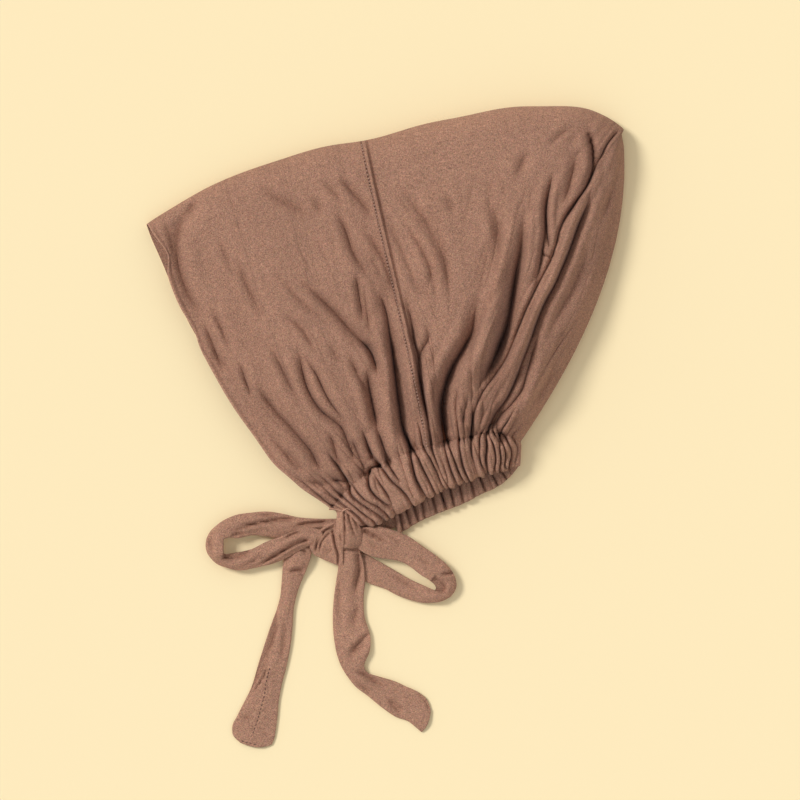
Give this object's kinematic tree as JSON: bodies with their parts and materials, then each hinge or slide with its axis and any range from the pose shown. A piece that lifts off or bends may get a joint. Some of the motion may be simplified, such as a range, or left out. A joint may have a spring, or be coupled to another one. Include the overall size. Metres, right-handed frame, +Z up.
{
  "type": "underscarf cap",
  "caption": "Soft cloth underscarf cap laid flat on its side, with a crown seam, a gathered elastic casing round the neck and flat cloth ties tied in a bow.",
  "frame": {"origin": "on the flat underside, on the surface that the cap lies on, in the middle of the cap's length and height without its ties", "axes": "+X from the face opening to the back of the bag, +Y from the ties to the crown fold, +Z up from the surface that it lies on"},
  "size_m": [0.3018, 0.4072, 0.0403],
  "materials": {
    "cap_cloth": "matte woven cloth, dusty brown",
    "seam_cloth": "matte woven cloth, felled and stitched",
    "tie_cloth": "matte woven cloth, crumpled ties"
  },
  "bodies": {
    "root": {"front_panel": "cap_cloth", "crown_seam": "seam_cloth", "back_panel": "cap_cloth", "elastic_casing": "cap_cloth", "bow_knot": "tie_cloth", "tie_root_near": "tie_cloth", "tie_root_far": "tie_cloth", "bow_loop_left": "tie_cloth", "bow_loop_right": "tie_cloth", "tie_tail_left": "tie_cloth", "tie_tail_right": "tie_cloth"}
  },
  "joints": []
}
